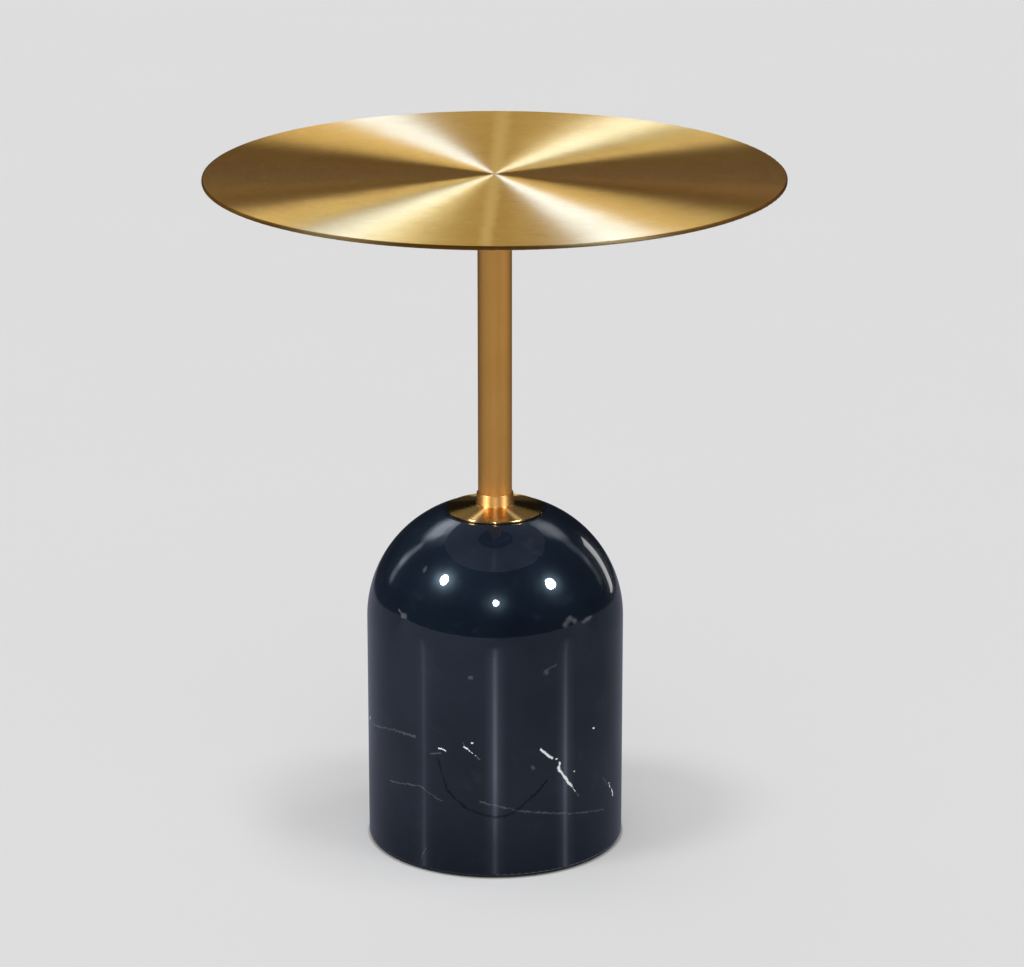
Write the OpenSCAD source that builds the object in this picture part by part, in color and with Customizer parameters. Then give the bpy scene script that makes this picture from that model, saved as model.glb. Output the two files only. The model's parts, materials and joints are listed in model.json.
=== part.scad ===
// Round coffee table: a thin brushed metal top on a slim tube stem, which one
// tie rod clamps to a solid turned marble base with a domed shoulder.
// Origin: centre of the footprint, on the floor. +Z is up. Millimetres.

/* [Overall] */
// Height of the top's upper face above the floor
table_h = 507; // [440:1:620]

/* [Table top] */
// Diameter of the metal disc
top_d = 420; // [320:5:520]
// Thickness of the metal disc
top_t = 3; // [2.5:0.5:6]
// Radius that softens the upper and lower edges of the rim
top_edge_r = 1; // [0.3:0.1:1.2]
// Diameter of the reinforcing plate bonded under the disc
plate_d = 120; // [115:5:220]
// Thickness of the reinforcing plate
plate_t = 6; // [5:0.5:10]
// Radius that softens the plate's edges
plate_edge_r = 1; // [0.3:0.1:2]

/* [Stem flange and its screws] */
// Diameter of the flange welded to the head of the stem
flange_d = 110; // [100:1:115]
// Thickness of the flange
flange_t = 4; // [3:0.5:8]
// Radius that softens the flange's edges
flange_edge_r = 0.8; // [0.3:0.1:1.4]
// Depth of the flange's spigot inside the tube
spigot_h = 15; // [8:1:40]
// Leg length of the fillet weld around the tube
weld_leg = 3; // [1.5:0.5:5]
// Number of flange screws
screw_count = 4; // [3:1:8]
// Diameter of the circle the screws stand on
screw_pcd = 76; // [64:1:84]
// Thread diameter of the flange screws
screw_d = 6; // [5:0.5:8]
// Length of the flange screws under the head
screw_len = 10; // [7:0.5:11]
// Diameter of the domed screw head
screw_head_d = 10.5; // [10:0.5:14]
// Height of the domed screw head
screw_head_h = 3.3; // [2.5:0.1:5]
// Width across flats of the hexagon socket in the head
screw_socket_af = 4; // [3:0.5:5]
// Depth of the hexagon socket
screw_socket_h = 2; // [1:0.1:2.2]
// Thickness of the split washer under each screw head
screw_washer_t = 1.6; // [1:0.1:2.5]
// Radial width of that washer's ring
screw_washer_w = 2.6; // [1.8:0.1:3]

/* [Stem] */
// Outer diameter of the tube
tube_d = 25; // [20:0.5:38]
// Wall thickness of the tube
tube_wall = 1.5; // [1:0.1:2.5]
// Height of the threaded plug welded into the foot of the tube
plug_h = 24; // [14:1:50]

/* [Collar] */
// Diameter of the collar's disc
collar_d = 72; // [56:1:90]
// Thickness of the collar's disc at its rim and under the tube
collar_t = 1.5; // [1:0.1:8]
// Radius that softens the disc's rim
collar_edge_r = 0.6; // [0.3:0.1:1.2]
// How far the disc's crown rises from its rim to the neck
collar_rise = 3.5; // [0.5:0.1:5]
// Height of the neck above the crown
neck_h = 8.5; // [6:0.5:20]
// Wall of the neck around the tube
neck_wall = 1; // [0.8:0.1:4]
// Radius of the hollow fillet at the foot of the neck
neck_fillet_r = 2; // [0.5:0.1:3]
// Thickness of the soft washer between the collar and the stone
gasket_t = 0.4; // [0.3:0.1:3]
// How far the soft washer stays back from the collar's rim
gasket_inset = 1; // [0.5:0.5:8]

/* [Marble base] */
// Diameter of the stone
base_d = 190; // [170:2:230]
// Height of the straight wall from the stone's foot to the shoulder
wall_h = 170; // [120:2:240]
// Radius of the turned shoulder that forms the dome
shoulder_r = 88; // [62:1:94]
// Flat margin of the ground seat outside the collar
seat_margin = 3.5; // [1:0.5:6]
// Radius that softens the stone's foot edge
foot_edge_r = 1.5; // [0.5:0.5:6]
// Diameter of the nut pocket in the underside
pocket_d = 48; // [46:1:70]
// Depth of the nut pocket
pocket_h = 30; // [28:1:60]

/* [Tie rod and nut] */
// Diameter of the tie rod
rod_d = 12; // [10:0.5:14]
// Clearance between the rod and the drilled stone, on the radius
rod_clearance = 1; // [0.5:0.25:3]
// Length of rod that stands out below the nut
rod_tail = 5; // [2:0.5:7]
// Length of rod thread left free inside the plug's upper end
rod_tip_gap = 2; // [0:0.5:6]
// Chamfer on both ends of the rod
rod_chamfer = 1; // [0.5:0.5:2]
// Diameter of the heavy washer against the stone
clamp_washer_d = 42; // [34:1:44]
// Thickness of the heavy washer
clamp_washer_t = 4; // [2:0.5:6]
// Thickness of the split washer above the nut
split_washer_t = 2.5; // [1.5:0.1:4]
// Radial width of that washer's ring
split_washer_w = 4.3; // [3:0.1:5]
// Width of the split in every split washer
split_gap = 1.6; // [0.8:0.1:2.5]
// Width across flats of the clamp nut
nut_af = 19; // [18:0.5:24]
// Height of the clamp nut
nut_h = 10; // [8:0.5:12]

/* [Floor pad] */
// Thickness of the soft disc under the stone, which also closes the nut pocket
pad_t = 2; // [1:0.5:5]
// How far the pad stays back from the stone's wall
pad_inset = 8; // [4:1:20]
// Radius that softens the pad's edges
pad_edge_r = 0.4; // [0.2:0.05:0.45]

/* [Fits] */
// Running gap of threads and welded-in turned parts, on the radius
fit = 0.05; // [0.02:0.01:0.1]
// Clearance of plain washers and bolt holes, on the radius
hole_clearance = 0.3; // [0.2:0.05:0.6]

/* [Hidden] */
$fn = 96;
hex = 6;        // facets of a hexagon
cut = 1;        // overshoot of every cutting tool beyond the face it opens
nut_bevel = 30; // angle of the bevel on the nut's corners
split_lean = 20; // lean of the split in a spring washer
edge_share = 0.45; // largest share of a disc's thickness that one softened edge takes

base_r = base_d / 2;
tube_r = tube_d / 2;
tube_bore_r = tube_r - tube_wall;
collar_r = collar_d / 2;
rod_r = rod_d / 2;
rod_hole_r = rod_r + rod_clearance;

// Bore that the tube drops into, and the neck around it
neck_bore_r = tube_r + fit;
neck_r = neck_bore_r + neck_wall;

// Slope of the collar's crown, from the rim's soft edge to the neck
crown_a = atan(collar_rise / (collar_r - collar_edge_r - neck_r));

// Ground seat on the crown of the stone, found from the shoulder's arc
seat_r = collar_r + seat_margin;
shoulder_x = base_r - shoulder_r;
seat_rise = sqrt(pow(shoulder_r, 2) - pow(seat_r - shoulder_x, 2));

// Heights from the floor up
z_foot = pad_t;
z_spring = z_foot + wall_h;
z_seat = z_spring + seat_rise;
z_collar = z_seat + gasket_t;
z_tube = z_collar + collar_t;
z_top = table_h - top_t;
z_plate = z_top - plate_t;
z_flange = z_plate - flange_t;

// Clamp stack, from the pocket's ceiling down
z_pocket = z_foot + pocket_h;
z_clamp_washer = z_pocket - clamp_washer_t;
z_split_washer = z_clamp_washer - split_washer_t;
z_nut = z_split_washer - nut_h;
z_rod_low = z_nut - rod_tail;
z_rod_high = z_tube + plug_h - rod_tip_gap;

// Colours, as the photograph shows them
brass = "#b98f45";
black_steel = "#2b2c2f";
stone_black = "#1b212d";
zinc = "#b8bcc0";
mill_steel = "#8f9296";
soft_black = "#202022";

// Two-dimensional half section of a disc whose rim corners are rounded
module disc_section(r, t, edge_r) {
    soft_r = min(edge_r, edge_share * t);
    square([r - soft_r, t]);
    translate([0, soft_r]) square([r, t - 2 * soft_r]);
    for (z = [soft_r, t - soft_r])
        translate([r - soft_r, z]) circle(soft_r);
}

// Flat ring between two radii, standing on z = 0
module ring(outer_r, inner_r, t) {
    difference() {
        cylinder(r = outer_r, h = t);
        translate([0, 0, -cut]) cylinder(r = inner_r, h = t + 2 * cut);
    }
}

// Copies its child onto the flange's screw circle
module on_screw_circle() {
    for (i = [0 : screw_count - 1])
        rotate(i * 360 / screw_count)
            translate([screw_pcd / 2, 0, 0])
                children();
}

// Spring washer: a ring of width w with one leaning split
module split_washer(inner_r, w, t) {
    outer_r = inner_r + w;
    difference() {
        ring(outer_r, inner_r, t);
        translate([outer_r, 0, t / 2])
            rotate([split_lean, 0, 0])
                cube([2 * outer_r, split_gap, 3 * t], center = true);
    }
}

// Metal disc with softened rim
module table_top() {
    color(brass)
        translate([0, 0, z_top])
            rotate_extrude() disc_section(top_d / 2, top_t, top_edge_r);
}

// Reinforcing plate under the disc, tapped for the flange screws
module top_plate() {
    color(black_steel)
        translate([0, 0, z_plate])
            difference() {
                rotate_extrude() disc_section(plate_d / 2, plate_t, plate_edge_r);
                on_screw_circle()
                    translate([0, 0, -cut])
                        cylinder(r = screw_d / 2 + fit, h = plate_t + 2 * cut);
            }
}

// Flange, its spigot inside the tube and the fillet weld around the tube
module stem_flange() {
    color(black_steel)
        translate([0, 0, z_flange])
            difference() {
                union() {
                    rotate_extrude() disc_section(flange_d / 2, flange_t, flange_edge_r);
                    translate([0, 0, -spigot_h])
                        cylinder(r = tube_bore_r - fit, h = spigot_h);
                    rotate_extrude() weld_section();
                }
                on_screw_circle()
                    translate([0, 0, -cut])
                        cylinder(r = screw_d / 2 + hole_clearance, h = flange_t + 2 * cut);
            }
}

// Triangular half section of the weld, hanging from the flange beside the tube
module weld_section() {
    weld_x = tube_r + fit;
    polygon([[weld_x, 0], [weld_x + weld_leg, 0], [weld_x, -weld_leg]]);
}

// Button-head screws that draw the flange up to the plate
module flange_screws() {
    color(zinc)
        on_screw_circle()
            translate([0, 0, z_flange - screw_washer_t])
                button_screw();
}

// One button-head screw pointing up, with the underside of its head on z = 0
module button_screw() {
    head_r = screw_head_d / 2;
    crown_r = (pow(head_r, 2) + pow(screw_head_h, 2)) / (2 * screw_head_h);
    difference() {
        union() {
            cylinder(d = screw_d, h = screw_len);
            rotate_extrude()
                intersection() {
                    translate([0, crown_r - screw_head_h]) circle(crown_r);
                    translate([0, -screw_head_h]) square([head_r, screw_head_h]);
                }
        }
        translate([0, 0, -screw_head_h - cut])
            cylinder(d = screw_socket_af / cos(180 / hex), h = screw_socket_h + cut, $fn = hex);
    }
}

// Spring washers between the screw heads and the flange
module flange_spring_washers() {
    color(zinc)
        on_screw_circle()
            translate([0, 0, z_flange - screw_washer_t])
                split_washer(screw_d / 2 + hole_clearance, screw_washer_w, screw_washer_t);
}

// Tube that carries the top, from the collar's disc to the flange
module stem_tube() {
    color(brass)
        translate([0, 0, z_tube])
            ring(tube_r, tube_bore_r, z_flange - z_tube);
}

// Tapped plug in the foot of the tube, which the tie rod pulls on
module stem_plug() {
    color(mill_steel)
        translate([0, 0, z_tube])
            ring(tube_bore_r - fit, rod_r + fit, plug_h);
}

// Collar: crowned disc, hollow fillet and a thin neck around the tube's foot
module collar() {
    color(brass)
        translate([0, 0, z_collar])
            rotate_extrude()
                difference() {
                    union() {
                        disc_section(collar_r, collar_t, collar_edge_r);
                        crown_section();
                        neck_section();
                    }
                    translate([0, -cut]) square([rod_r + hole_clearance, collar_t + 2 * cut]);
                    translate([0, collar_t]) square([neck_bore_r, collar_rise + neck_h + cut]);
                }
}

// Half section of the low cone on the collar's disc
module crown_section() {
    polygon([
        [0, collar_t],
        [collar_r - collar_edge_r, collar_t],
        [neck_r, collar_t + collar_rise],
        [0, collar_t + collar_rise]
    ]);
}

// Half section of the neck, with a round lip above and a fillet to the crown below
module neck_section() {
    lip_r = neck_wall / 2;
    foot = collar_t + collar_rise;
    lip_z = foot + neck_h - lip_r;
    fillet_x = neck_r + neck_fillet_r;
    fillet_z = foot + neck_fillet_r / cos(crown_a) - neck_fillet_r * tan(crown_a);
    square([neck_r, lip_z]);
    translate([0, foot]) square([neck_r - lip_r, neck_h]);
    translate([neck_r - lip_r, lip_z]) circle(lip_r);
    difference() {
        polygon([
            [neck_r, foot],
            [fillet_x - neck_fillet_r * sin(crown_a), fillet_z - neck_fillet_r * cos(crown_a)],
            [fillet_x, fillet_z],
            [neck_r, fillet_z]
        ]);
        translate([fillet_x, fillet_z]) circle(neck_fillet_r);
    }
}

// Soft washer that keeps the collar off the stone
module collar_gasket() {
    color(soft_black)
        translate([0, 0, z_seat])
            ring(collar_r - gasket_inset, rod_hole_r, gasket_t);
}

// Turned stone: straight wall, domed shoulder, ground seat, bore and nut pocket
module marble_base() {
    color(stone_black)
        rotate_extrude()
            difference() {
                stone_section();
                translate([0, z_foot - cut]) square([rod_hole_r, z_seat - z_foot + 2 * cut]);
                translate([0, z_foot - cut]) square([pocket_d / 2, pocket_h + cut]);
            }
}

// Outer half section of the stone
module stone_section() {
    difference() {
        translate([0, z_foot]) square([base_r, wall_h]);
        translate([base_r - foot_edge_r, z_foot])
            difference() {
                translate([0, -cut]) square([foot_edge_r + cut, foot_edge_r + cut]);
                translate([0, foot_edge_r]) circle(foot_edge_r);
            }
    }
    translate([0, z_spring]) square([seat_r, seat_rise]);
    intersection() {
        translate([shoulder_x, z_spring]) circle(shoulder_r);
        translate([seat_r, z_spring]) square([base_r - seat_r, seat_rise]);
    }
}

// Rod that clamps stem, collar and stone together
module tie_rod() {
    color(zinc)
        translate([0, 0, z_rod_low])
            rotate_extrude()
                polygon([
                    [0, 0],
                    [rod_r - rod_chamfer, 0],
                    [rod_r, rod_chamfer],
                    [rod_r, z_rod_high - z_rod_low - rod_chamfer],
                    [rod_r - rod_chamfer, z_rod_high - z_rod_low],
                    [0, z_rod_high - z_rod_low]
                ]);
}

// Heavy washer against the ceiling of the nut pocket
module clamp_washer() {
    color(zinc)
        translate([0, 0, z_clamp_washer])
            ring(clamp_washer_d / 2, rod_r + hole_clearance, clamp_washer_t);
}

// Spring washer between the heavy washer and the nut
module clamp_spring_washer() {
    color(zinc)
        translate([0, 0, z_split_washer])
            split_washer(rod_r + hole_clearance, split_washer_w, split_washer_t);
}

// Hexagon nut with bevelled corners
module clamp_nut() {
    corner_r = nut_af / 2 / cos(180 / hex);
    bevel_h = (corner_r - nut_af / 2) * tan(nut_bevel);
    color(zinc)
        translate([0, 0, z_nut])
            difference() {
                intersection() {
                    cylinder(r = corner_r, h = nut_h, $fn = hex);
                    rotate_extrude()
                        polygon([
                            [0, 0],
                            [nut_af / 2, 0],
                            [corner_r, bevel_h],
                            [corner_r, nut_h - bevel_h],
                            [nut_af / 2, nut_h],
                            [0, nut_h]
                        ]);
                }
                translate([0, 0, -cut]) cylinder(r = rod_r + fit, h = nut_h + 2 * cut);
            }
}

// Soft disc glued under the stone, over the nut pocket
module floor_pad() {
    color(soft_black)
        rotate_extrude() disc_section(base_r - pad_inset, pad_t, pad_edge_r);
}

table_top();
top_plate();
stem_flange();
flange_screws();
flange_spring_washers();
stem_tube();
stem_plug();
collar();
collar_gasket();
marble_base();
tie_rod();
clamp_washer();
clamp_spring_washer();
clamp_nut();
floor_pad();
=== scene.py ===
"""Looks of the round coffee table: brushed brass-coloured top and stem, polished dark marble base.

Everything is in metres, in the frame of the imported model: +Z up, origin on the floor under the stone,
and the camera on the -Y side.
"""
import json
import math

import bpy
from mathutils import Matrix, Vector


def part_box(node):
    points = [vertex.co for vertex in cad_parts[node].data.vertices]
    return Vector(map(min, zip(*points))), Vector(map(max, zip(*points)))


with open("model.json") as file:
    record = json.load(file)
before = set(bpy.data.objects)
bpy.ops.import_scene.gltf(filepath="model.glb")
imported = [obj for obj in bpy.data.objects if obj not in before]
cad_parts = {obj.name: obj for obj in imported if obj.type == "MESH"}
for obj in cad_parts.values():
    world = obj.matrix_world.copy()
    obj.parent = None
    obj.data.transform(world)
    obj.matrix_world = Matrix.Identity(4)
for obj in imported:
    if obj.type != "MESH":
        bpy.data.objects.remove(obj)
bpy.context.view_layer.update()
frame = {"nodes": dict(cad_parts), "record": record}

MM = 0.001
IMAGE_W = 1024
SENSOR_W = 36.0

# Camera, from a fit to the photograph's ellipses and edges
CAMERA_PLACE = (12.5 * MM, -2847.2 * MM, 1180.6 * MM)
CAMERA_DOWN = math.radians(17.666)
FOCAL_PX = 4064.7

# Real sizes that the looks need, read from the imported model
STONE_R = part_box("marble_base")[1].x
NECK_WALL = 1.1 * MM
NECK_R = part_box("stem_tube")[1].x + NECK_WALL
COLLAR_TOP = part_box("collar")[1].z
TOP_LOW, TOP_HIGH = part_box("table_top")
TOP_R = TOP_HIGH.x

# Brightness of the floor as the camera sees it, and of the room that the table mirrors
FLOOR_SEEN = 0.723
FLOOR_ALBEDO = 0.5
FLOOR_REACH = 30.0
FLOOR_GRAIN = 0.002
ROOM = 0.010

# A thin dark line of painted shade round the stone's foot, where the floor gets no light
FOOT_SHADE_WIDTH = 2 * MM
FOOT_SHADE_SHARE = 0.05

# The floor that the table mirrors: brightness left and right, how far from the middle, and its tint
FLOOR_MIRRORED_LEFT = 0.36
FLOOR_MIRRORED_RIGHT = 0.25
FLOOR_MIRRORED_REACH = 0.5
FLOOR_MIRRORED_TINT = (0.95, 1.0, 1.28, 1.0)
# It ends behind the table, softly, and has painted shade behind the stone and close to it
FLOOR_BACK_EDGE = 0.95
FLOOR_BACK_SOFTNESS = 0.15
FLOOR_BACK_SHARE = 0.1
FLOOR_SHADE_BEHIND_STONE = (-0.15, 0.10)
FLOOR_SHADE_BEHIND_SHARE = 0.6
FLOOR_CLOSE_SHADE_REACH = 0.25
FLOOR_CLOSE_SHADE_SHARE = 0.6

# Lights of the brushed top. The radiances of the round ones and of the first eight boxes started from a
# fit to the photograph's fans and were then adjusted.
# The round ones: azimuth, distance, width, and radiance
TOP_LAMP_RISE = 40.0
TOP_LAMPS = [
    ("top_left", -72.0, 2.2, 1.097, (3.9, 7.2, 28.0)),
    ("top_right", 57.0, 6.0, 2.992, (7.6, 16.6, 72.0)),
    ("top_left_core", -67.0, 2.2, 0.308, (0.5, 0.5, 30.0)),
    ("top_right_core", 57.0, 6.0, 0.840, (0.5, 0.5, 18.0)),
]
# The boxes, of which the last four stand in front and beside: azimuths, elevations, and radiance
TOP_BOX_DISTANCE = 4.0
TOP_BOXES = [
    ("top_low_right", (105.0, 155.0), (4.0, 18.0), (1.07, 0.82, 0.72)),
    ("top_low_rear", (155.0, 205.0), (4.0, 18.0), (0.162, 0.130, 0.115)),
    ("top_low_left", (205.0, 255.0), (4.0, 18.0), (0.89, 0.72, 0.51)),
    ("top_rear_right", (105.0, 135.0), (28.0, 60.0), (2.0, 2.4, 3.3)),
    ("top_rear", (145.0, 195.0), (38.0, 60.0), (1.92, 1.98, 1.70)),
    ("top_rear_high", (195.0, 215.0), (48.0, 60.0), (6.1, 9.5, 19.0)),
    ("top_rear_left", (215.0, 225.0), (38.0, 48.0), (9.3, 10.8, 11.6)),
    ("top_left_low", (225.0, 235.0), (28.0, 38.0), (7.9, 8.9, 12.0)),
    ("top_far_left", (-105.0, -52.0), (4.0, 24.0), (0.75, 0.66, 0.52)),
    ("top_front_left", (-52.0, 0.0), (4.0, 24.0), (0.75, 0.66, 0.52)),
    ("top_front_right", (0.0, 52.0), (4.0, 24.0), (0.75, 0.66, 0.52)),
    ("top_far_right", (52.0, 105.0), (4.0, 24.0), (0.75, 0.66, 0.52)),
]

# A panel on the floor lights the underside of the top, which the stone's shoulder mirrors
UNDERSIDE_LIGHT = 0.20
UNDERSIDE_PANEL_REACH = 0.8
UNDERSIDE_PANEL_Z = 0.01

# Lamps that the stone mirrors: target, azimuth, elevation, distance, width, and share of STONE_LAMP
STONE_LAMP = (300.0, 318.0, 432.0)
STONE_LAMPS = [
    ("lamp_left", (-0.036, -0.070, 0.223), -65.4, 42.6, 1.2, 0.20, 0.56),
    ("lamp_front", (0.001, -0.086, 0.211), 1.2, 33.1, 1.4, 0.14, 0.51),
    ("lamp_right", (0.040, -0.070, 0.220), 67.7, 37.8, 1.2, 0.20, 0.34),
]

# Soft boxes of the collar: azimuths, and radiance
COLLAR_BOX_RISE = (28.0, 52.0)
COLLAR_BOX_DISTANCE = 2.5
COLLAR_BOXES = [
    ("collar_left", (-165.0, -120.0), 0.55),
    ("collar_right", (120.0, 165.0), 0.42),
]

# Soft boxes of the stem, which make an even room in front of it: azimuth, and radiance
STEM_MIDDLE = (0.0, 0.0, 0.35)
STEM_BOX_HALF_SPAN = 40.0
STEM_BOX_RISE = (0.0, 30.0)
STEM_BOX_DISTANCE = 2.5
STEM_BOXES = [
    ("stem_left", -80.0, 0.50),
    ("stem_front", 0.0, 0.85),
    ("stem_right", 80.0, 1.45),
]

# Lights of the floor alone, fitted to the photograph's shadows: azimuth, elevation, softness, and share of
# the floor's brightness
SUN_DISTANCE = 3.0
FLOOR_SUNS = [
    ("floor_left", -62.0, 60.0, 15.0, 0.112),
    ("floor_right", 57.0, 60.0, 15.0, 0.080),
    ("floor_front", 0.0, 61.0, 50.0, 0.149),
    ("floor_rear_left", -126.0, 70.0, 30.0, 0.070),
    ("floor_rear_right", 96.0, 67.0, 15.0, 0.056),
    ("floor_rear", 180.0, 74.0, 30.0, 0.045),
]

# Windows that the stone's shoulder mirrors, as soft strokes on a clear screen behind the table.
# Each row has its start azimuth and elevation, its end, the distance where it starts to fade, the
# distance where it ends, all in degrees, and its radiance.
WINDOW_TINT = (0.90, 0.97, 1.10, 1.0)
WINDOWS_LEFT = [
    (-149.0, 42.0, -138.0, 41.0, 1.5, 12.5, 2.5),
    (-127.0, 32.0, -124.0, 20.0, 0.5, 6.5, 1.15),
    (-124.0, 20.0, -122.0, 10.0, 0.5, 6.0, 0.80),
    (-152.0, 54.0, -134.0, 53.0, 1.0, 24.0, 0.50),
]
WINDOWS_RIGHT = [
    (138.5, 40.5, 147.0, 42.0, 1.0, 13.0, 1.45),
    (128.0, 32.0, 124.5, 20.0, 0.5, 6.5, 0.40),
    (124.5, 20.0, 123.0, 9.0, 0.5, 6.0, 0.28),
    (152.0, 56.0, 140.0, 55.0, 1.0, 16.0, 0.22),
]
SCREEN_R = 4.0
SCREEN_Z = 0.22
SCREEN_COLUMNS = 12
SCREEN_ROWS = 10
SCREEN_RISE = (-2.0, 80.0)
SCREENS = [
    ("windows_left", (-178.0, -100.0), WINDOWS_LEFT),
    ("windows_right", (100.0, 178.0), WINDOWS_RIGHT),
]

# A narrow panel that the shoulder mirrors on its right: the ways to three of its corners from a point there
SLIVER_SEEN_FROM = (0.075, -0.030, 0.20)
SLIVER_WAYS = ((132.7, -4.6), (141.3, -7.4), (140.8, 18.5))
SLIVER_DISTANCE = 2.0
SLIVER_LIGHT = 2.0

# Colours of the brushed top: its plating, the marks in it, the painted shade of its rim, and its bare
# underside
BRASS_EDGE = (1.0, 0.97, 0.75, 1.0)
TOP_DEEP = (0.84, 0.470, 0.105, 1.0)
TOP_PALE = (0.90, 0.530, 0.130, 1.0)
TOP_LINES = (0.72, 0.38, 0.075, 1.0)
TOP_FINE = (0.96, 0.64, 0.20, 1.0)
TOP_SMUDGE = (0.68, 0.36, 0.09, 1.0)
TOP_SCUFF = (0.97, 0.66, 0.24, 1.0)
TOP_MEETING = (1.0, 0.65, 0.22, 1.0)
TOP_RIM_SHADE = (0.36, 0.16, 0.02, 1.0)
BARE_DEEP = (0.60, 0.60, 0.63, 1.0)
BARE_PALE = (0.68, 0.68, 0.71, 1.0)

# Colours of the stem and of the collar
STEM_DEEP = (0.84, 0.425, 0.095, 1.0)
STEM_PALE = (0.90, 0.475, 0.120, 1.0)
STEM_SHADE = (0.78, 0.37, 0.075, 1.0)
COLLAR_DEEP = (0.82, 0.48, 0.13, 1.0)
COLLAR_PALE = (0.88, 0.55, 0.17, 1.0)
COLLAR_RINGS = (0.66, 0.36, 0.09, 1.0)

# Colours of the stone
STONE_DEEP = (0.0034, 0.0056, 0.0080, 1.0)
STONE_PALE = (0.0062, 0.0101, 0.0134, 1.0)
STONE_PATCH = (0.013, 0.018, 0.023, 1.0)
STONE_TINT = (0.70, 1.0, 0.92, 1.0)
VEIN_FAINT = (0.48, 0.46, 0.38, 1.0)
PAINTED_REFLECTION_DARK = (0.002, 0.003, 0.006, 1.0)
VEIN_WHITE = (0.95, 0.90, 0.70, 1.0)

# Depth of the grain in the brass-coloured metals and of the wave in the stone's polish
FINE_DEPTH = 0.00001

# Where the brushing of the top meets: a line that leans a little and wanders, wider at the back
MEETING_LEAN = 0.027
MEETING_WANDER = (-0.0010, 0.0018)
MEETING_FRONT_HALF = 7.0 * MM
MEETING_BACK_HALF = 10.0 * MM
MEETING_SMOOTHER = 0.06
# A rougher band beside it, in the front half: where it starts, is full, and ends
BESIDE_START = 0.003
BESIDE_FULL = 0.006
BESIDE_END = 0.022
BESIDE_BACK = 0.04
BESIDE_ROUGHER = 0.03

# The top's rim, which is rougher and painted darker as shade, from its edge inwards, and its flat underside,
# from below
RIM_START = 1.2 * MM
RIM_FULL = 0.7 * MM
RIM_ROUGHER = 0.22
UNDERSIDE_START = 0.0002
UNDERSIDE_FULL = 0.00005

# The neck of the collar, which is rougher than its disc
NECK_START = 1.0 * MM
NECK_FULL = 0.3 * MM
NECK_ROUGHER = 0.50

# Light streaks drawn on the mirrored floor, which the stone's wall mirrors as upright streaks.
# Each row has its azimuth, and its brightness near the stone, further out and far out.
# A streak spreads as it goes out, and each pair of distances is a stretch where its brightness changes.
PATH_SPREAD = 0.10
PATH_START_WIDTH = 0.005
PATH_START_REACH = 0.01
PATH_NEAR_TO_MIDDLE = (0.06, 0.20)
PATH_MIDDLE_TO_FAR = (0.22, 0.45)
PATH_FADE = (0.35, 1.1)
PATH_CORE_SHARE = 0.75
PATH_GLOW_SHARE = 0.25
FLOOR_PATHS = [
    (-67.2, 0.50, 0.38, 0.50),
    (0.0, 0.60, 2.00, 1.50),
    (66.2, 0.75, 1.35, 0.65),
]

# How strong the faint veins, the hairlines and the break in the polish along the painted dark reflection are,
# how wide a hairline is in its noise, between which angles the hairlines set in, and how far two noises push
# the veins about
FAINT_SHARE = 0.15
HAIR_SHARE = 0.20
HAIR_WIDTH = 0.0022
HAIR_SIDES = (math.radians(70.0), math.radians(100.0))
DARK_REFLECTION_DULLING = 0.65
VEIN_WANDER = 0.0032
VEIN_RAGGEDNESS = 0.0009
# Where a stroke is gone and where it is full, as shares of its half width
STROKE_OUTER = 1.35
STROKE_INNER = 0.55

# Veins of the stone, and a painted dark reflection, as short strokes: start angle and height, end angle and
# height, and half width.
# Angles are degrees round the stone from the side that faces the camera, and heights and widths are mm.
# The strokes in front follow the photograph. Those on the sides and the back are invented.
WHITE_VEINS = [
    (20.5, 99.4, 23.0, 95.3, 0.75),
    (23.0, 95.3, 26.0, 91.2, 1.05),
    (28.0, 89.3, 28.3, 89.0, 0.75),
    (30.0, 85.8, 29.3, 82.3, 0.85),
    (29.3, 82.3, 31.1, 77.0, 1.1),
    (31.1, 77.0, 36.1, 65.7, 1.0),
    (36.1, 65.7, 38.4, 60.4, 0.35),
    (-25.3, 99.2, -22.0, 97.7, 0.6),
    (-13.4, 102.4, -12.3, 101.4, 0.8),
    (-12.3, 101.4, -8.4, 96.0, 0.35),
    (-9.9, 106.4, -9.6, 106.1, 0.75),
    (49.6, 105.6, 49.9, 105.3, 0.7),
    (37.6, 77.1, 37.8, 76.7, 0.7),
    (62.5, 54.0, 64.0, 50.5, 0.7),
    (65.5, 48.0, 67.1, 42.2, 0.9),
    (-78.0, 98.0, -79.5, 95.0, 0.9),
    (104.0, 152.0, 116.0, 140.0, 0.6),
    (116.0, 140.0, 123.0, 122.0, 1.0),
    (123.0, 122.0, 131.0, 114.0, 0.45),
    (-101.0, 60.0, -112.0, 75.0, 0.5),
    (-112.0, 75.0, -118.0, 93.0, 0.9),
    (-149.0, 156.0, -154.0, 140.0, 0.85),
    (-154.0, 140.0, -162.0, 126.0, 0.5),
]
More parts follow.
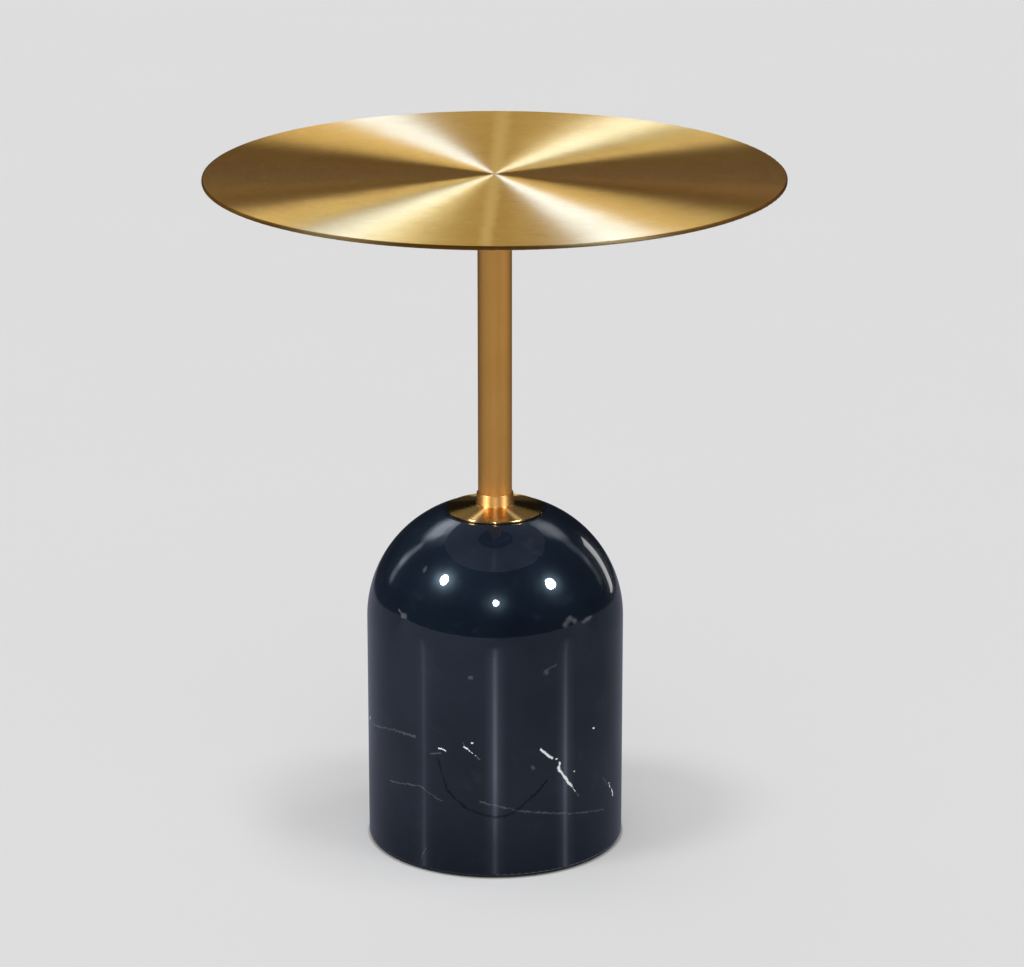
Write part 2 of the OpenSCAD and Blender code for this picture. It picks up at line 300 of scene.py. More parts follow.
FAINT_VEINS = [
    (-7.0, 60.7, 11.3, 52.9, 0.4),
    (11.3, 52.9, 31.8, 45.6, 0.5),
    (31.8, 45.6, 57.7, 36.6, 0.38),
    (-74.3, 95.0, -50.5, 103.0, 0.4),
    (-50.5, 103.0, -38.0, 104.0, 0.6),
    (-55.0, 61.0, -36.0, 66.0, 0.4),
    (-36.0, 66.0, -24.0, 58.0, 0.35),
    (-29.8, 93.2, -24.2, 95.4, 0.4),
    (-14.4, 106.3, -12.6, 101.9, 0.4),
    (-8.4, 96.0, -6.4, 93.4, 0.4),
    (38.4, 60.4, 40.2, 56.2, 0.5),
    (56.9, 61.5, 61.2, 54.8, 0.5),
    (16.7, 85.6, 17.0, 84.8, 1.1),
    (-49.3, 196.3, -46.9, 193.4, 0.7),
    (-46.9, 193.4, -44.6, 193.6, 1.1),
    (-42.0, 226.6, -41.7, 226.2, 1.2),
    (33.5, 191.6, 36.3, 194.6, 1.6),
    (36.3, 194.6, 39.0, 192.4, 1.2),
    (43.1, 189.7, 49.1, 191.4, 0.8),
    (22.3, 159.0, 28.0, 163.0, 0.4),
    (-34.5, 9.6, -32.6, 17.8, 0.35),
    (23.0, 158.6, 23.4, 157.9, 1.3),
    (-10.8, 156.3, -10.0, 156.1, 0.9),
]
# A dark arc across the front of the wall: painted dark reflection in the stone's colour, with its polish
# broken along it
DARK_REFLECTION_ARC = [
    (-26.1, 90.6, -21.7, 67.7, 0.7),
    (-21.7, 67.7, -12.5, 54.0, 0.9),
    (-12.5, 54.0, 0.1, 48.3, 1.0),
    (0.1, 48.3, 7.7, 51.1, 1.0),
    (7.7, 51.1, 19.9, 67.1, 0.9),
    (19.9, 67.1, 23.1, 73.7, 0.7),
]


class Shader:
    """A material's node tree, with short calls for the nodes that the materials here share."""

    def __init__(self, name):
        self.material = bpy.data.materials.new(name)
        self.material.use_nodes = True
        self.tree = self.material.node_tree
        self.tree.nodes.clear()
        self.output = self.add("ShaderNodeOutputMaterial")

    def add(self, kind, **settings):
        node = self.tree.nodes.new(kind)
        for key, value in settings.items():
            setattr(node, key, value)
        return node

    def join(self, source, socket):
        """Links a socket, or sets a plain value."""
        if isinstance(source, bpy.types.NodeSocket):
            self.tree.links.new(source, socket)
        else:
            socket.default_value = source

    def math(self, operation, a, b=0.0, clamp=False):
        node = self.add("ShaderNodeMath", operation=operation, use_clamp=clamp)
        for source, socket in zip((a, b), node.inputs):
            self.join(source, socket)
        return node.outputs[0]

    def vector_math(self, operation, a, b=(0.0, 0.0, 0.0), scale=1.0, answer="Vector"):
        node = self.add("ShaderNodeVectorMath", operation=operation)
        self.join(a, node.inputs[0])
        if operation == "SCALE":
            self.join(scale, node.inputs["Scale"])
        else:
            self.join(b, node.inputs[1])
        return node.outputs[answer]

    def vector(self, x, y, z):
        node = self.add("ShaderNodeCombineXYZ")
        for source, socket in zip((x, y, z), node.inputs):
            self.join(source, socket)
        return node.outputs[0]

    def place(self):
        """Object coordinates in metres, whole and split into x, y and z."""
        coordinates = self.add("ShaderNodeTexCoord")
        split = self.add("ShaderNodeSeparateXYZ")
        self.join(coordinates.outputs["Object"], split.inputs[0])
        return coordinates.outputs["Object"], split.outputs[0], split.outputs[1], split.outputs[2]

    def noise(self, vector, scale, detail=2.0, roughness=0.5, distortion=0.0, colour=False):
        node = self.add("ShaderNodeTexNoise")
        self.join(vector, node.inputs["Vector"])
        node.inputs["Scale"].default_value = scale
        node.inputs["Detail"].default_value = detail
        node.inputs["Roughness"].default_value = roughness
        node.inputs["Distortion"].default_value = distortion
        return node.outputs["Color" if colour else "Fac"]

    def remap(self, value, low, high, to_low=0.0, to_high=1.0, smooth=False):
        node = self.add("ShaderNodeMapRange")
        if smooth:
            node.interpolation_type = "SMOOTHSTEP"
        self.join(value, node.inputs["Value"])
        for name, number in zip(("From Min", "From Max", "To Min", "To Max"), (low, high, to_low, to_high)):
            self.join(number, node.inputs[name])
        return node.outputs["Result"]

    def mix(self, factor, a, b):
        """Mixes two colours."""
        node = self.add("ShaderNodeMix", data_type="RGBA")
        self.join(factor, node.inputs["Factor"])
        for source, socket in ((a, node.inputs[6]), (b, node.inputs[7])):
            self.join(source, socket)
        return node.outputs[2]

    def mix_value(self, factor, a, b):
        """Mixes two numbers."""
        node = self.add("ShaderNodeMix", data_type="FLOAT")
        for source, socket in zip((factor, a, b), (node.inputs[0], node.inputs[2], node.inputs[3])):
            self.join(source, socket)
        return node.outputs[0]

    def bump(self, height, distance, strength=1.0):
        node = self.add("ShaderNodeBump")
        node.inputs["Strength"].default_value = strength
        node.inputs["Distance"].default_value = distance
        self.join(height, node.inputs["Height"])
        return node.outputs["Normal"]

    def principled(self, **inputs):
        node = self.add("ShaderNodeBsdfPrincipled")
        for name, source in inputs.items():
            self.join(source, node.inputs[name.replace("_", " ")])
        self.join(node.outputs[0], self.output.inputs["Surface"])

    def emission(self, strength, colour=(1.0, 1.0, 1.0, 1.0)):
        node = self.add("ShaderNodeEmission")
        self.join(colour, node.inputs["Color"])
        self.join(strength, node.inputs["Strength"])
        return node.outputs[0]

    def sum_of(self, one, other):
        """Adds two shaders."""
        node = self.add("ShaderNodeAddShader")
        self.join(one, node.inputs[0])
        self.join(other, node.inputs[1])
        return node.outputs[0]

    def around_z(self, x, y):
        """Radius from the axis, and the unit direction round it, which has no seam."""
        squares = self.math("ADD", self.math("MULTIPLY", x, x), self.math("MULTIPLY", y, y))
        radius = self.math("SQRT", squares)
        safe = self.math("MAXIMUM", radius, 1e-5)
        return radius, self.math("DIVIDE", x, safe), self.math("DIVIDE", y, safe)

    def tangent(self):
        return self.add("ShaderNodeTangent", direction_type="RADIAL", axis="Z").outputs[0]

    def rings(self, radius, along_x, along_y, stretch):
        """Coordinates that change with the radius and only slowly round the axis."""
        return self.vector(
            radius, self.math("MULTIPLY", along_x, stretch), self.math("MULTIPLY", along_y, stretch))

    def away_from(self, spot, start, end):
        """Distance from the straight line between two points."""
        run = end - start
        offset = self.vector_math("SUBTRACT", spot, tuple(start))
        reach = self.vector_math("DOT_PRODUCT", offset, tuple(run), answer="Value")
        along = self.math("MULTIPLY", reach, 1.0 / run.length_squared, clamp=True)
        gap = self.vector_math("SUBTRACT", offset, self.vector_math("SCALE", tuple(run), scale=along))
        return self.vector_math("LENGTH", gap, answer="Value")

    def stroke(self, skin, ends, spread):
        """1 on a straight stroke on the stone's skin, fading to 0 beside it; spread widens the fading."""
        start_turn, start_z, end_turn, end_z, half_width = ends
        start = Vector((math.radians(start_turn) * STONE_R, start_z * MM, 0.0))
        end = Vector((math.radians(end_turn) * STONE_R, end_z * MM, 0.0))
        outer = half_width * STROKE_OUTER * spread * MM
        inner = half_width * STROKE_INNER / spread * MM
        return self.remap(self.away_from(skin, start, end), outer, inner, smooth=True)

    def strokes(self, skin, table, spread=1.0):
        """All strokes of a table together."""
        total = None
        for ends in table:
            one = self.stroke(skin, ends, spread)
            total = one if total is None else self.math("MAXIMUM", total, one)
        return total

    def light_path(self, x, y, turn, near, middle, far):
        """Light streak on the mirrored floor, from the stone's foot outwards, wider further out."""
        away = direction(turn, 0.0)
        foot = direction(turn / 2, 0.0) * STONE_R
        from_x = self.math("SUBTRACT", x, foot.x)
        from_y = self.math("SUBTRACT", y, foot.y)
        out = self.math(
            "ADD", self.math("MULTIPLY", from_x, away.x), self.math("MULTIPLY", from_y, away.y))
        aside = self.math(
            "SUBTRACT", self.math("MULTIPLY", from_x, away.y), self.math("MULTIPLY", from_y, away.x))
        width = self.math("MULTIPLY", self.math("MAXIMUM", out, 0.0), PATH_SPREAD)
        width = self.math("ADD", width, PATH_START_WIDTH)
        share = self.math("DIVIDE", self.math("ABSOLUTE", aside), width)
        level = self.remap(out, *PATH_NEAR_TO_MIDDLE, near, middle)
        level = self.mix_value(self.remap(out, *PATH_MIDDLE_TO_FAR), level, far)
        level = self.math("MULTIPLY", level, self.remap(out, *PATH_FADE, 1.0, 0.0))
        level = self.math("MULTIPLY", level, self.remap(out, 0.0, PATH_START_REACH))
        core = self.math("POWER", self.remap(share, 1.0, 0.0, smooth=True), 3.0)
        core = self.math("MULTIPLY", core, PATH_CORE_SHARE)
        bell = self.math("ADD", core, self.remap(share, 2.0, 0.0, 0.0, PATH_GLOW_SHARE, smooth=True))
        return self.math("MULTIPLY", level, bell)


def brushed_top():
    """Brass-coloured disc, brushed in circles, with a faint line across where the brushing meets, and a rim
    painted darker as shade.
    """
    s = Shader("brushed_brass_top")
    place, x, y, z = s.place()
    radius, along_x, along_y = s.around_z(x, y)
    fine = s.noise(s.rings(radius, along_x, along_y, 0.004), 1900.0, detail=2.0, roughness=0.6)
    lines = s.noise(s.rings(radius, along_x, along_y, 0.010), 420.0, detail=3.0, roughness=0.6)
    bands = s.noise(s.rings(radius, along_x, along_y, 0.030), 90.0, detail=2.0)
    clouds = s.noise(place, 16.0, detail=5.0, roughness=0.62)
    smudge = s.noise(place, 55.0, detail=4.0, roughness=0.6, distortion=0.6)
    scuffs = s.noise(s.rings(radius, along_x, along_y, 0.12), 130.0, detail=5.0, roughness=0.7)
    base = s.mix(s.remap(clouds, 0.34, 0.66), TOP_DEEP, TOP_PALE)
    base = s.mix(s.remap(lines, 0.3, 0.7, 0.0, 0.35), base, TOP_LINES)
    base = s.mix(s.remap(fine, 0.3, 0.7, 0.0, 0.25), base, TOP_FINE)
    base = s.mix(s.remap(smudge, 0.52, 0.72, 0.0, 0.40), base, TOP_SMUDGE)
    base = s.mix(s.remap(scuffs, 0.52, 0.72, 0.0, 0.35), base, TOP_SCUFF)
    wander = s.noise(s.vector(0.0, y, 0.0), 45.0, detail=4.0, roughness=0.6)
    middle = s.math("ADD", s.math("MULTIPLY", y, MEETING_LEAN), s.remap(wander, 0.3, 0.7, *MEETING_WANDER))
    across = s.math("SUBTRACT", x, middle)
    half_width = s.remap(y, -TOP_R, TOP_R, MEETING_FRONT_HALF, MEETING_BACK_HALF)
    meeting = s.remap(s.math("DIVIDE", s.math("ABSOLUTE", across), half_width), 1.0, 0.0, smooth=True)
    base = s.mix(meeting, base, TOP_MEETING)
    beside = s.math(
        "MULTIPLY", s.remap(across, BESIDE_START, BESIDE_FULL), s.remap(across, BESIDE_END, BESIDE_FULL))
    beside = s.math("MULTIPLY", beside, s.remap(y, BESIDE_BACK, -BESIDE_BACK))
    rough = s.math("ADD", s.remap(bands, 0.3, 0.7, 0.365, 0.385), s.remap(lines, 0.3, 0.7, -0.012, 0.015))
    rough = s.math("ADD", rough, s.remap(smudge, 0.5, 0.75, 0.0, 0.02))
    rough = s.math("SUBTRACT", rough, s.math("MULTIPLY", meeting, MEETING_SMOOTHER))
    rough = s.math("ADD", rough, s.math("MULTIPLY", beside, BESIDE_ROUGHER))
    # The rim is rougher, and its colour is painted darker as shade along the top's edge
    rim_rough_and_shade = s.remap(radius, TOP_R - RIM_START, TOP_R - RIM_FULL, smooth=True)
    rough = s.math("ADD", rough, s.math("MULTIPLY", rim_rough_and_shade, RIM_ROUGHER))
    base = s.mix(rim_rough_and_shade, base, TOP_RIM_SHADE)
    grain = s.math("ADD", fine, s.math("MULTIPLY", lines, 0.8))
    below = s.remap(z, TOP_LOW.z + UNDERSIDE_START, TOP_LOW.z + UNDERSIDE_FULL)
    bare = s.mix(s.remap(clouds, 0.34, 0.66), BARE_DEEP, BARE_PALE)
    base = s.mix(below, base, bare)
    s.principled(
        Base_Color=base, Metallic=1.0, Specular_Tint=BRASS_EDGE, Roughness=rough, Anisotropic=1.0,
        Anisotropic_Rotation=0.25, Tangent=s.tangent(), Normal=s.bump(grain, FINE_DEPTH, 0.4))
    return s.material


def satin_stem():
    """Brass-coloured tube with a fine satin grain."""
    s = Shader("brass_stem")
    place, x, y, z = s.place()
    _, along_x, along_y = s.around_z(x, y)
    slow_x = s.math("MULTIPLY", along_x, 0.02)
    slow_y = s.math("MULTIPLY", along_y, 0.02)
    grain = s.noise(s.vector(slow_x, slow_y, z), 1500.0, detail=3.0, roughness=0.6)
    upright = s.noise(s.vector(along_x, along_y, z), 14.0, detail=3.0)
    clouds = s.noise(place, 18.0, detail=3.0)
    base = s.mix(s.remap(clouds, 0.35, 0.65), STEM_DEEP, STEM_PALE)
    base = s.mix(s.remap(upright, 0.35, 0.65, 0.0, 0.3), base, STEM_SHADE)
    s.principled(
        Base_Color=base, Metallic=1.0, Roughness=s.remap(grain, 0.3, 0.7, 0.43, 0.50),
        Normal=s.bump(grain, FINE_DEPTH, 0.4))
    return s.material


def turned_collar():
    """Brass-coloured collar, turned and polished."""
    s = Shader("polished_brass_collar")
    _, x, y, _ = s.place()
    radius, along_x, along_y = s.around_z(x, y)
    fine = s.noise(s.rings(radius, along_x, along_y, 0.004), 2600.0, detail=2.0)
    rings = s.noise(s.rings(radius, along_x, along_y, 0.002), 700.0, detail=2.0)
    base = s.mix(s.remap(fine, 0.3, 0.7), COLLAR_DEEP, COLLAR_PALE)
    base = s.mix(s.remap(rings, 0.35, 0.7, 0.0, 0.3), base, COLLAR_RINGS)
    rough = s.remap(rings, 0.3, 0.7, 0.25, 0.28)
    neck = s.remap(radius, NECK_R + NECK_START, NECK_R + NECK_FULL, smooth=True)
    rough = s.math("ADD", rough, s.math("MULTIPLY", neck, NECK_ROUGHER))
    s.principled(
        Base_Color=base, Metallic=1.0, Roughness=rough, Anisotropic=1.0,
        Anisotropic_Rotation=0.25, Tangent=s.tangent(), Normal=s.bump(fine, FINE_DEPTH, 0.5))
    return s.material


def dark_marble():
    """Blue-black polished stone with a few white veins; the haze of the polish is the rougher layer below."""
    s = Shader("dark_marble")
    place, x, y, z = s.place()
    turn = s.math("ARCTAN2", x, s.math("MULTIPLY", y, -1.0))
    skin = s.vector(s.math("MULTIPLY", turn, STONE_R), z, 0.0)
    coarse = s.vector_math("SUBTRACT", s.noise(place, 260.0, detail=2.0, colour=True), (0.5, 0.5, 0.5))
    ragged = s.vector_math("SUBTRACT", s.noise(place, 1100.0, detail=2.0, colour=True), (0.5, 0.5, 0.5))
    skin = s.vector_math("ADD", skin, s.vector_math("SCALE", coarse, scale=VEIN_WANDER))
    skin = s.vector_math("ADD", skin, s.vector_math("SCALE", ragged, scale=VEIN_RAGGEDNESS))

    clouds = s.noise(place, 13.0, detail=6.0, roughness=0.62)
    patches = s.noise(place, 46.0, detail=4.0, roughness=0.6, distortion=0.5)
    base = s.mix(s.remap(clouds, 0.36, 0.66), STONE_DEEP, STONE_PALE)
    base = s.mix(s.remap(patches, 0.58, 0.78, 0.0, 0.6), base, STONE_PATCH)
    # Hairlines on the sides and the back, where a noise crosses its middle
    hair = s.noise(place, 4.5, detail=2.5, roughness=0.5, distortion=0.5)
    hair = s.math("ABSOLUTE", s.math("SUBTRACT", hair, 0.5))
    hair = s.remap(hair, HAIR_WIDTH, 0.0, smooth=True)
    where = s.remap(s.noise(place, 11.0, detail=1.0), 0.56, 0.66, smooth=True)
    sides = s.remap(s.math("ABSOLUTE", turn), *HAIR_SIDES, smooth=True)
    hair = s.math("MULTIPLY", s.math("MULTIPLY", hair, where), sides)
    faint = s.math("MULTIPLY", s.strokes(skin, FAINT_VEINS, 1.6), FAINT_SHARE)
    faint = s.math("MAXIMUM", faint, s.math("MULTIPLY", hair, HAIR_SHARE))
    faint = s.math("MULTIPLY", faint, s.remap(s.noise(place, 240.0, detail=2.0), 0.3, 0.6, 0.45, 1.0))
    base = s.mix(faint, base, VEIN_FAINT)
    # A dark arc painted into the colour: painted dark reflection, not a vein
    painted_dark_reflection = s.math("MULTIPLY", s.strokes(skin, DARK_REFLECTION_ARC, 1.3), s.remap(patches, 0.35, 0.6, 0.5, 1.0))
    base = s.mix(painted_dark_reflection, base, PAINTED_REFLECTION_DARK)
    base = s.mix(s.strokes(skin, WHITE_VEINS), base, VEIN_WHITE)

    wave = s.bump(s.noise(place, 38.0, detail=1.0), FINE_DEPTH, 1.0)
    # The polish is the coat, and it is broken along the painted dark reflection, which darkens it there
    polish = s.math("SUBTRACT", 1.0, s.math("MULTIPLY", painted_dark_reflection, DARK_REFLECTION_DULLING))
    s.principled(
        Base_Color=base, Roughness=s.remap(patches, 0.3, 0.7, 0.23, 0.28), Specular_IOR_Level=0.07,
        Specular_Tint=STONE_TINT, Normal=wave,
        Coat_Weight=polish, Coat_Roughness=0.03, Coat_IOR=1.5, Coat_Normal=wave)
    return s.material


def plain_metal(name, light, dark, rough):
    """Grained steel for the hardware under the top and inside the stone."""
    s = Shader(name)
    place = s.place()[0]
    grain = s.noise(place, 900.0, detail=3.0)
    clouds = s.noise(place, 60.0, detail=3.0)
    base = s.mix(s.remap(clouds, 0.35, 0.65), dark, light)
    s.principled(
        Base_Color=base, Metallic=1.0, Roughness=s.remap(grain, 0.3, 0.7, rough - 0.05, rough + 0.06),
        Normal=s.bump(grain, 0.00003, 0.4))
    return s.material


def soft_black():
    """Matt foam and fibre."""
    s = Shader("soft_black")
    place = s.place()[0]
    grain = s.noise(place, 1400.0, detail=2.0)
    base = s.mix(grain, (0.012, 0.012, 0.013, 1.0), (0.035, 0.035, 0.037, 1.0))
    s.principled(Base_Color=base, Roughness=0.85, Normal=s.bump(grain, 0.0001, 0.6))
    return s.material


def dress(materials):
    """Gives every CAD node the material of its slot."""
    slots = {row["node"]: row["material_slot"] for row in frame["record"]["subparts"]}
    for name, node in frame["nodes"].items():
        node.data.materials.clear()
        node.data.materials.append(materials[slots[name]])


def add_camera():
    data = bpy.data.cameras.new("camera")
    data.sensor_width = SENSOR_W
    data.lens = FOCAL_PX / IMAGE_W * SENSOR_W
    data.clip_end = 50.0
    camera = bpy.data.objects.new("camera", data)
    camera.location = CAMERA_PLACE
    camera.rotation_euler = (math.pi / 2 - CAMERA_DOWN, 0.0, 0.0)
    bpy.context.scene.collection.objects.link(camera)
    bpy.context.scene.camera = camera


def direction(azimuth, elevation):
    """Unit vector; azimuth 0 points to the camera's side and grows to the right."""
    a, e = math.radians(azimuth), math.radians(elevation)
    return Vector((math.sin(a) * math.cos(e), -math.cos(a) * math.cos(e), math.sin(e)))


def add_light(name, data, location, turn, lit):
    """Places a light that the camera can't see and that lights only the objects in one collection."""
    lamp = bpy.data.objects.new(name, data)
    lamp.location = location
    lamp.rotation_euler = turn.to_euler()
    lamp.visible_camera = False
    lamp.light_linking.receiver_collection = lit
    bpy.context.scene.collection.objects.link(lamp)
    return lamp


def shine(data, area, colour):
    """Sets a lamp's colour and power from the radiance of its face."""
    strength = max(colour)
    data.color = [part / strength for part in colour]
    data.energy = strength * area * math.pi


def round_lamp(name, target, azimuth, elevation, distance, width, colour, lit):
    """A small bright lamp that faces the target."""
    data = bpy.data.lights.new(name, "AREA")
    data.shape = "DISK"
    data.size = width
    shine(data, math.pi * width * width / 4, colour)
    towards = direction(azimuth, elevation)
    add_light(name, data, Vector(target) + towards * distance, towards.to_track_quat("Z", "Y"), lit)


def soft_box(name, target, azimuths, elevations, distance, colour, lit):
    """A soft box that faces the target and covers a span of angles as the target sees it."""
    azimuth, elevation = sum(azimuths) / 2, sum(elevations) / 2
    half_turn, half_rise = (math.radians((high - low) / 2) for low, high in (azimuths, elevations))
    data = bpy.data.lights.new(name, "AREA")
    data.shape = "RECTANGLE"
    data.size = 2 * distance * math.tan(half_turn) * math.cos(math.radians(elevation))
    data.size_y = 2 * distance * math.tan(half_rise)
    shine(data, data.size * data.size_y, colour)
    towards = direction(azimuth, elevation)
    right = direction(azimuth + 90.0, 0.0)
    turn = Matrix((right, towards.cross(right), towards)).transposed()
    add_light(name, data, Vector(target) + towards * distance, turn, lit)


def panel(name, low_left, low_right, top_left, radiance, lit):
    """A soft box given by three corners, lit on the side that faces the table."""
    corner = Vector(low_left)
    right = Vector(low_right) - corner
    up = Vector(top_left) - corner
    normal = right.cross(up).normalized()
    middle = corner + right / 2 + up / 2
    if normal.dot(Vector((0.0, 0.0, 0.4)) - middle) > 0:
        right, normal = -right, -normal
    data = bpy.data.lights.new(name, "AREA")
    data.shape = "RECTANGLE"
    data.size, data.size_y = right.length, up.length
    shine(data, right.length * up.length, (radiance, radiance, radiance))
    x_axis = right.normalized()
    turn = Matrix((x_axis, normal.cross(x_axis), normal)).transposed()
    add_light(name, data, middle, turn, lit)


def add_screen(name, azimuths, windows, lit):
    """A clear piece of a globe round the stone with soft windows on it, which only the stone mirrors."""
    low, high = SCREEN_RISE
    points = []
    for row in range(SCREEN_ROWS + 1):
        elevation = low + (high - low) * row / SCREEN_ROWS
        for column in range(SCREEN_COLUMNS + 1):
            azimuth = azimuths[0] + (azimuths[1] - azimuths[0]) * column / SCREEN_COLUMNS
            points.append(direction(azimuth, elevation) * SCREEN_R)
    faces = []
    for row in range(SCREEN_ROWS):
        for column in range(SCREEN_COLUMNS):
            first = row * (SCREEN_COLUMNS + 1) + column
            above = first + SCREEN_COLUMNS + 1
            faces.append((first, first + 1, above + 1, above))
    mesh = bpy.data.meshes.new(name)
    mesh.from_pydata(points, [], faces)
    screen = bpy.data.objects.new(name, mesh)
    screen.location = (0.0, 0.0, SCREEN_Z)
    bpy.context.scene.collection.objects.link(screen)
    s = Shader(name)
    _, x, y, z = s.place()
    to_degrees = 180.0 / math.pi
    azimuth = s.math("MULTIPLY", s.math("ARCTAN2", x, s.math("MULTIPLY", y, -1.0)), to_degrees)
    elevation = s.math("MULTIPLY", s.math("ARCSINE", s.math("MULTIPLY", z, 1.0 / SCREEN_R)), to_degrees)
    spot = s.vector(azimuth, elevation, 0.0)
    level = 0.0
    for start_turn, start_rise, end_turn, end_rise, inner, outer, radiance in windows:
        distance = s.away_from(spot, Vector((start_turn, start_rise, 0.0)), Vector((end_turn, end_rise, 0.0)))
        level = s.math("ADD", level, s.remap(distance, outer, inner, 0.0, radiance, smooth=True))
    clear = s.add("ShaderNodeBsdfTransparent").outputs[0]
    s.join(s.sum_of(s.emission(level, WINDOW_TINT), clear), s.output.inputs["Surface"])
    mesh.materials.append(s.material)
    screen.visible_camera = False
    screen.visible_shadow = False
    screen.light_linking.receiver_collection = lit


def floor_sun(name, azimuth, elevation, softness, share, lit, blockers):
    """An even light for the floor alone; share is what it adds to the floor's brightness."""
    data = bpy.data.lights.new(name, "SUN")
    data.angle = math.radians(softness)
    data.energy = share * math.pi / (FLOOR_ALBEDO * math.sin(math.radians(elevation)))
    towards = direction(azimuth, elevation)
    lamp = add_light(name, data, towards * SUN_DISTANCE, towards.to_track_quat("Z", "Y"), lit)
    lamp.light_linking.blocker_collection = blockers


def add_floor():
    """Pale floor that fills the view; the table mirrors a dimmer one that ends behind it."""
    corners = [(x * FLOOR_REACH, y * FLOOR_REACH, 0) for x, y in ((-1, -1), (1, -1), (1, 1), (-1, 1))]
    mesh = bpy.data.meshes.new("floor")
    mesh.from_pydata(corners, [], [(0, 1, 2, 3)])
    floor = bpy.data.objects.new("floor", mesh)
    bpy.context.scene.collection.objects.link(floor)
    s = Shader("floor")
    place, x, y, _ = s.place()
    grain = s.noise(place, 3.0, detail=2.0)
    diffuse = s.add("ShaderNodeBsdfDiffuse")
    diffuse.inputs["Color"].default_value = (FLOOR_ALBEDO, FLOOR_ALBEDO, FLOOR_ALBEDO, 1.0)
    steady = FLOOR_SEEN - sum(row[-1] for row in FLOOR_SUNS) - ROOM * FLOOR_ALBEDO
    steady = s.remap(grain, 0.3, 0.7, steady - FLOOR_GRAIN, steady + FLOOR_GRAIN)
    radius = s.around_z(x, y)[0]
    # Painted shade: the floor's glow darkens to a thin line round the stone's foot
    foot = s.remap(radius, STONE_R, STONE_R + FOOT_SHADE_WIDTH, FOOT_SHADE_SHARE, 1.0, smooth=True)
    steady = s.math("MULTIPLY", steady, foot)
    seen = s.sum_of(diffuse.outputs[0], s.emission(steady))
    level = s.remap(
        x, -FLOOR_MIRRORED_REACH, FLOOR_MIRRORED_REACH, FLOOR_MIRRORED_LEFT, FLOOR_MIRRORED_RIGHT)
    back_low, back_high = FLOOR_BACK_EDGE - FLOOR_BACK_SOFTNESS, FLOOR_BACK_EDGE + FLOOR_BACK_SOFTNESS
    back_edge = s.remap(y, back_low, back_high, 1.0, FLOOR_BACK_SHARE, smooth=True)
    level = s.math("MULTIPLY", level, back_edge)
    # Painted shade in the mirrored floor's glow, behind the stone and close round it
    level = s.math("MULTIPLY", level, s.remap(y, *FLOOR_SHADE_BEHIND_STONE, 1.0, FLOOR_SHADE_BEHIND_SHARE))
    level = s.math("MULTIPLY", level, s.remap(radius, STONE_R, FLOOR_CLOSE_SHADE_REACH, FLOOR_CLOSE_SHADE_SHARE, 1.0))
    for turn, near, middle, far in FLOOR_PATHS:
        level = s.math("ADD", level, s.light_path(x, y, turn, near, middle, far))
    path = s.add("ShaderNodeLightPath")
    choose = s.add("ShaderNodeMixShader")
    s.join(path.outputs["Is Camera Ray"], choose.inputs[0])
    s.join(s.emission(level, FLOOR_MIRRORED_TINT), choose.inputs[1])
    s.join(seen, choose.inputs[2])
    s.join(choose.outputs[0], s.output.inputs["Surface"])
    mesh.materials.append(s.material)
    return floor


def add_world():
    """A nearly dark room, which the camera sees as pale as the floor where a low view looks past it."""
    world = bpy.data.worlds.new("studio")
    bpy.context.scene.world = world
    world.use_nodes = True
    tree = world.node_tree
    tree.nodes.clear()
    out = tree.nodes.new("ShaderNodeOutputWorld")
    choose = tree.nodes.new("ShaderNodeMixShader")
    path = tree.nodes.new("ShaderNodeLightPath")
    tree.links.new(path.outputs["Is Camera Ray"], choose.inputs[0])
    for strength, socket in ((ROOM, choose.inputs[1]), (FLOOR_SEEN, choose.inputs[2])):
        room = tree.nodes.new("ShaderNodeBackground")
        room.inputs["Color"].default_value = (1.0, 1.0, 1.0, 1.0)
        room.inputs["Strength"].default_value = strength
        tree.links.new(room.outputs[0], socket)
    tree.links.new(choose.outputs[0], out.inputs[0])


def group(name, objects):
    collection = bpy.data.collections.new(name)
    for item in objects:
        collection.objects.link(item)
    return collection


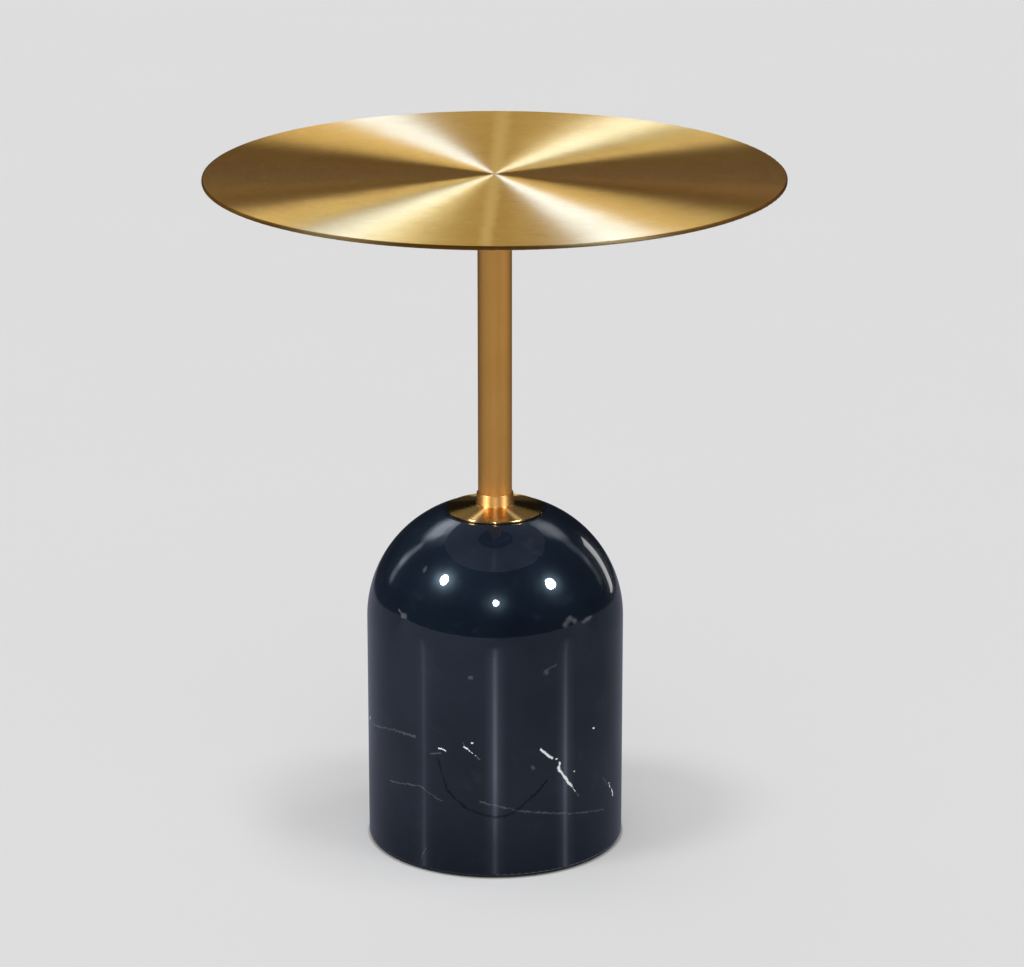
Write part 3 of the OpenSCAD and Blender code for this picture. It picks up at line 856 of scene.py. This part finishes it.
def add_lights(floor):
    """Groups the pieces by the lights that reach them, and places the lights of each group."""
    top = group("lit_top", [frame["nodes"]["table_top"]])
    stem = group("lit_stem", [frame["nodes"]["stem_tube"]])
    table = group("lit_below_top", [
        node for name, node in frame["nodes"].items() if name not in ("table_top", "stem_tube")])
    stone = group("lit_stone", [frame["nodes"]["marble_base"]])
    collar = group("lit_collar", [frame["nodes"]["collar"]])
    ground = group("lit_floor", [floor])
    shading = group("shading_floor", [
        frame["nodes"][name] for name in ("marble_base", "floor_pad", "collar")])

    # The brushed top has its own lights, which its rings draw out into fans
    centre = (0.0, 0.0, TOP_HIGH.z)
    for name, azimuth, distance, width, colour in TOP_LAMPS:
        round_lamp(name, centre, azimuth, TOP_LAMP_RISE, distance, width, colour, top)
    for name, azimuths, elevations, colour in TOP_BOXES:
        soft_box(name, centre, azimuths, elevations, TOP_BOX_DISTANCE, colour, top)

    # The lamps that the stone mirrors as three round lights, and that draw the collar's fans
    for name, target, azimuth, elevation, distance, width, share in STONE_LAMPS:
        colour = [share * part for part in STONE_LAMP]
        round_lamp(name, target, azimuth, elevation, distance, width, colour, table)
    centre = (0.0, 0.0, COLLAR_TOP)
    for name, azimuths, level in COLLAR_BOXES:
        soft_box(name, centre, azimuths, COLLAR_BOX_RISE, COLLAR_BOX_DISTANCE, (level, level, level), collar)

    # The room beside and behind the table, which the shoulder of the stone mirrors
    for name, azimuths, windows in SCREENS:
        add_screen(name, azimuths, windows, stone)
    corners = [Vector(SLIVER_SEEN_FROM) + direction(*way) * SLIVER_DISTANCE for way in SLIVER_WAYS]
    panel("sliver_right", *corners, SLIVER_LIGHT, stone)
    # The underside of the top, which the shoulder mirrors too
    reach, low = UNDERSIDE_PANEL_REACH, UNDERSIDE_PANEL_Z
    corners = ((-reach, -reach, low), (reach, -reach, low), (-reach, reach, low))
    panel("under_top", *corners, UNDERSIDE_LIGHT, top)

    # The satin stem mirrors an even room in front of it
    for name, azimuth, level in STEM_BOXES:
        azimuths = (azimuth - STEM_BOX_HALF_SPAN, azimuth + STEM_BOX_HALF_SPAN)
        soft_box(name, STEM_MIDDLE, azimuths, STEM_BOX_RISE, STEM_BOX_DISTANCE, (level, level, level), stem)

    # The floor's own light, which gives the soft shadows of the stone
    for name, azimuth, elevation, softness, share in FLOOR_SUNS:
        floor_sun(name, azimuth, elevation, softness, share, ground, shading)


scene = bpy.context.scene
scene.view_settings.view_transform = "Standard"
scene.view_settings.look = "None"

add_camera()
add_world()
add_lights(add_floor())

dress({
    "brushed_brass_top": brushed_top(),
    "brass_stem": satin_stem(),
    "polished_brass_collar": turned_collar(),
    "dark_marble": dark_marble(),
    "blackened_steel": plain_metal(
        "blackened_steel", (0.10, 0.10, 0.105, 1.0), (0.05, 0.05, 0.055, 1.0), 0.5),
    "zinc_fasteners": plain_metal(
        "zinc_fasteners", (0.62, 0.63, 0.66, 1.0), (0.50, 0.51, 0.54, 1.0), 0.3),
    "soft_black": soft_black(),
})
